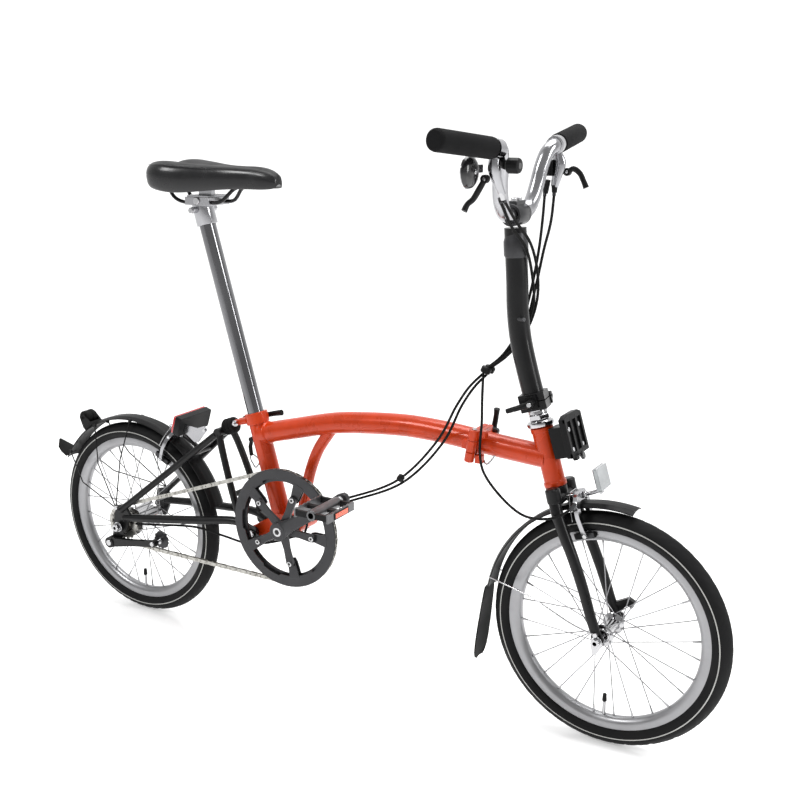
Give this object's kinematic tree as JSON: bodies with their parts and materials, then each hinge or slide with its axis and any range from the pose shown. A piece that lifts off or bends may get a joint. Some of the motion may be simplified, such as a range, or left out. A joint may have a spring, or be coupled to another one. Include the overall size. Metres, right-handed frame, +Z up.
{
  "type": "folding bicycle",
  "caption": "Compact folding bicycle with small wheels, a curved hinged main tube, a folding stem, a swinging rear frame, mudguards and a front luggage block.",
  "frame": {"origin": "on the ground, midway along the bicycle, on its middle plane", "axes": "+X forward, +Y the rider's left, +Z up"},
  "size_m": [1.4867, 0.5408, 1.0283],
  "materials": {
    "orange_paint": "glossy metallic orange-red enamel",
    "black_paint": "satin black powder coat",
    "black_plastic": "fine matt grain",
    "saddle_cover": "black synthetic leather with stitched seams",
    "soft_rubber": "matt",
    "tyre_rubber": "matt with fine tread",
    "silver_alloy": "polished",
    "bright_steel": "plated",
    "chain_steel": "oiled",
    "grey_alloy": "satin grey",
    "red_lens": "prismatic red",
    "clear_lens": "prismatic clear"
  },
  "bodies": {
    "main_frame": {"main_frame_rear_half": "orange_paint", "bottom_bracket_cartridge": "grey_alloy", "seat_clamp_collar": "orange_paint", "cables_rear": "soft_rubber", "chain": "chain_steel"},
    "front_frame": {"main_frame_front_half": "orange_paint", "headset_upper_cup": "bright_steel", "luggage_block": "black_plastic", "main_hinge_clamp_plate": "grey_alloy", "cables_middle": "soft_rubber"},
    "fork": {"fork": "black_paint", "headset_locknut": "bright_steel", "stem_joint_base": "black_paint", "front_mudflap": "soft_rubber", "front_mudguard": "black_plastic", "front_reflector": "clear_lens", "front_axle": "bright_steel", "cable_front_brake": "soft_rubber", "cables_upper": "soft_rubber"},
    "stem": {"stem": "black_paint", "handlebar": "silver_alloy", "grip_right": "soft_rubber", "grip_left": "soft_rubber", "bell": "black_plastic"},
    "front_wheel": {"front_tyre": "tyre_rubber", "front_rim": "silver_alloy", "front_hub_and_spokes": "bright_steel"},
    "rear_frame": {"rear_frame": "black_paint", "suspension_block": "soft_rubber", "rear_mudguard": "black_plastic", "rear_reflector": "red_lens", "rear_axle": "bright_steel"},
    "rear_wheel": {"rear_tyre": "tyre_rubber", "rear_rim": "silver_alloy", "rear_hub_and_spokes": "bright_steel"},
    "freewheel": {"rear_sprockets": "chain_steel"},
    "tensioner": {"chain_tensioner_arm": "black_paint"},
    "tensioner_wheel": {"chain_tensioner_wheel": "grey_alloy"},
    "crank": {"crank_right_with_spider": "grey_alloy", "chainring": "grey_alloy", "crank_left_with_spindle": "grey_alloy"},
    "pedal_right": {"pedal_right_body": "grey_alloy"},
    "pedal_left_arm": {"pedal_left_spindle": "bright_steel"},
    "pedal_left": {"pedal_left_body": "black_plastic"},
    "seat": {"seatpost": "silver_alloy", "saddle": "saddle_cover", "saddle_rails_and_clamp": "silver_alloy"},
    "parking_roller": {"parking_roller": "soft_rubber"},
    "seat_clamp_lever": {"seat_clamp_lever": "black_paint"},
    "rear_catch_lever": {"rear_catch_lever": "black_paint"},
    "main_hinge_lever": {"main_hinge_lever": "black_paint"},
    "luggage_block_button": {"luggage_block_button": "black_plastic"},
    "stem_joint_lever": {"stem_joint_lever": "black_paint"},
    "shifter_knob": {"shifter_knob": "black_plastic"},
    "brake_lever_right": {"brake_lever_right": "black_plastic"},
    "brake_lever_left": {"brake_lever_left": "black_plastic"},
    "front_brake_arm_right": {"front_brake_arm_right": "silver_alloy"},
    "front_brake_arm_left": {"front_brake_arm_left": "silver_alloy"},
    "rear_brake_arm_right": {"rear_brake_arm_right": "silver_alloy"},
    "rear_brake_arm_left": {"rear_brake_arm_left": "silver_alloy"}
  },
  "joints": [
    {"name": "main_fold", "type": "hinge", "parent": "main_frame", "child": "front_frame", "pos_m": [0.29, -0.0334, 0.5], "axis": [-0.1694, 0, -0.9855], "range_deg": [0, 130], "deforming": ["cables_middle"]},
    {"name": "rear_fold", "type": "hinge", "parent": "main_frame", "child": "rear_frame", "pos_m": [-0.1905, 0, 0.245], "axis": [0, 1, 0], "range_deg": [-134, 0], "deforming": ["chain", "cables_rear", "front_mudflap"]},
    {"name": "steering", "type": "hinge", "parent": "front_frame", "child": "fork", "pos_m": [0.4023, 0, 0.5418], "axis": [-0.2924, 0, 0.9563], "range_deg": [-45, 45], "deforming": ["cable_front_brake", "cables_upper"]},
    {"name": "stem_fold", "type": "hinge", "parent": "fork", "child": "stem", "pos_m": [0.38348, 0.02641, 0.58415], "axis": [-0.9354, -0.2079, -0.286], "range_deg": [0, 135], "deforming": ["cables_upper"]},
    {"name": "seatpost_slide", "type": "slide", "parent": "main_frame", "child": "seat", "axis": [0.2723, 0, -0.9622], "range_m": [0, 0.29]},
    {"name": "crank_turn", "type": "hinge", "parent": "main_frame", "child": "crank", "pos_m": [-0.0925, 0, 0.282], "axis": [0, 1, 0], "continuous": true},
    {"name": "freewheel_turn", "type": "hinge", "parent": "rear_frame", "child": "freewheel", "pos_m": [-0.5108, 0, 0.208], "axis": [0, 1, 0], "continuous": true},
    {"name": "tensioner_wheel_turn", "type": "hinge", "parent": "tensioner", "child": "tensioner_wheel", "pos_m": [-0.4115, 0, 0.192], "axis": [0, 1, 0], "continuous": true},
    {"name": "front_wheel_spin", "type": "hinge", "parent": "fork", "child": "front_wheel", "pos_m": [0.5358, 0, 0.208], "axis": [0, 1, 0], "continuous": true},
    {"name": "rear_wheel_spin", "type": "hinge", "parent": "rear_frame", "child": "rear_wheel", "pos_m": [-0.5108, 0, 0.208], "axis": [0, 1, 0], "continuous": true},
    {"name": "pedal_right_spin", "type": "hinge", "parent": "crank", "child": "pedal_right", "pos_m": [0.05167, -0.13, 0.37209], "axis": [0, 1, 0], "continuous": true},
    {"name": "pedal_left_fold", "type": "hinge", "parent": "crank", "child": "pedal_left_arm", "pos_m": [-0.24767, 0.0867, 0.19191], "axis": [0, 0, 1], "range_deg": [0, 90]},
    {"name": "pedal_left_spin", "type": "hinge", "parent": "pedal_left_arm", "child": "pedal_left", "pos_m": [-0.23667, 0.14, 0.19191], "axis": [0, 1, 0], "continuous": true},
    {"name": "seat_clamp_lever_turn", "type": "hinge", "parent": "main_frame", "child": "seat_clamp_lever", "pos_m": [-0.2331, 0.018, 0.4595], "axis": [0, 1, 0], "range_deg": [-100, 0]},
    {"name": "rear_catch_release", "type": "hinge", "parent": "main_frame", "child": "rear_catch_lever", "pos_m": [-0.205, 0, 0.428], "axis": [0, 1, 0], "range_deg": [0, 18]},
    {"name": "main_hinge_lever_turn", "type": "hinge", "parent": "front_frame", "child": "main_hinge_lever", "pos_m": [0.29, 0.048, 0.5], "axis": [0, 1, 0], "range_deg": [-90, 0]},
    {"name": "luggage_button_press", "type": "slide", "parent": "front_frame", "child": "luggage_block_button", "axis": [-0.9563, 0, -0.2924], "range_m": [0, 0.002], "stiffness_N_per_m": 300},
    {"name": "stem_lever_turn", "type": "hinge", "parent": "fork", "child": "stem_joint_lever", "pos_m": [0.39482, -0.02934, 0.58761], "axis": [-0.1988, 0.9781, -0.0608], "range_deg": [0, 90]},
    {"name": "shifter_turn", "type": "hinge", "parent": "stem", "child": "shifter_knob", "pos_m": [0.3865, -0.1019, 0.971], "axis": [0.9988, -0.0499, 0], "range_deg": [-60, 60]},
    {"name": "brake_lever_right_squeeze", "type": "hinge", "parent": "stem", "child": "brake_lever_right", "pos_m": [0.3475, -0.119, 0.951], "axis": [1, 0, 0], "range_deg": [-20, 0], "stiffness_Nm_per_rad": 0.6},
    {"name": "brake_lever_left_squeeze", "type": "hinge", "parent": "stem", "child": "brake_lever_left", "pos_m": [0.3785, 0.1295, 0.951], "axis": [1, 0, 0], "range_deg": [0, 20], "stiffness_Nm_per_rad": 0.6},
    {"name": "front_brake_right_close", "type": "hinge", "parent": "fork", "child": "front_brake_arm_right", "pos_m": [0.4745, 0, 0.435], "axis": [0.9563, 0, 0.2924], "range_deg": [0, 0.9]},
    {"name": "front_brake_left_close", "type": "hinge", "parent": "fork", "child": "front_brake_arm_left", "pos_m": [0.4745, 0, 0.435], "axis": [0.9563, 0, 0.2924], "range_deg": [-0.9, 0]},
    {"name": "rear_brake_right_close", "type": "hinge", "parent": "rear_frame", "child": "rear_brake_arm_right", "pos_m": [-0.39638, 0, 0.41441], "axis": [0.8748, 0, -0.4845], "range_deg": [0, 0.9]},
    {"name": "rear_brake_left_close", "type": "hinge", "parent": "rear_frame", "child": "rear_brake_arm_left", "pos_m": [-0.39638, 0, 0.41441], "axis": [0.8748, 0, -0.4845], "range_deg": [-0.9, 0]},
    {"name": "tensioner_swing", "type": "hinge", "parent": "rear_frame", "child": "tensioner", "pos_m": [-0.5305, -0.075, 0.172], "axis": [0, 1, 0], "range_deg": [-7, 0], "deforming": ["chain"]},
    {"name": "parking_roller_spin", "type": "hinge", "parent": "rear_frame", "child": "parking_roller", "pos_m": [-0.65014, 0, 0.41074], "axis": [0, 1, 0], "continuous": true}
  ],
  "couplings": [
    {"joint": "freewheel_turn", "follows": "crank_turn", "ratio": 3.375},
    {"joint": "tensioner_wheel_turn", "follows": "crank_turn", "ratio": 4.9091},
    {"joint": "front_brake_right_close", "follows": "brake_lever_left_squeeze", "ratio": 0.045},
    {"joint": "front_brake_left_close", "follows": "brake_lever_left_squeeze", "ratio": -0.045},
    {"joint": "rear_brake_right_close", "follows": "brake_lever_right_squeeze", "ratio": -0.045},
    {"joint": "rear_brake_left_close", "follows": "brake_lever_right_squeeze", "ratio": 0.045}
  ]
}
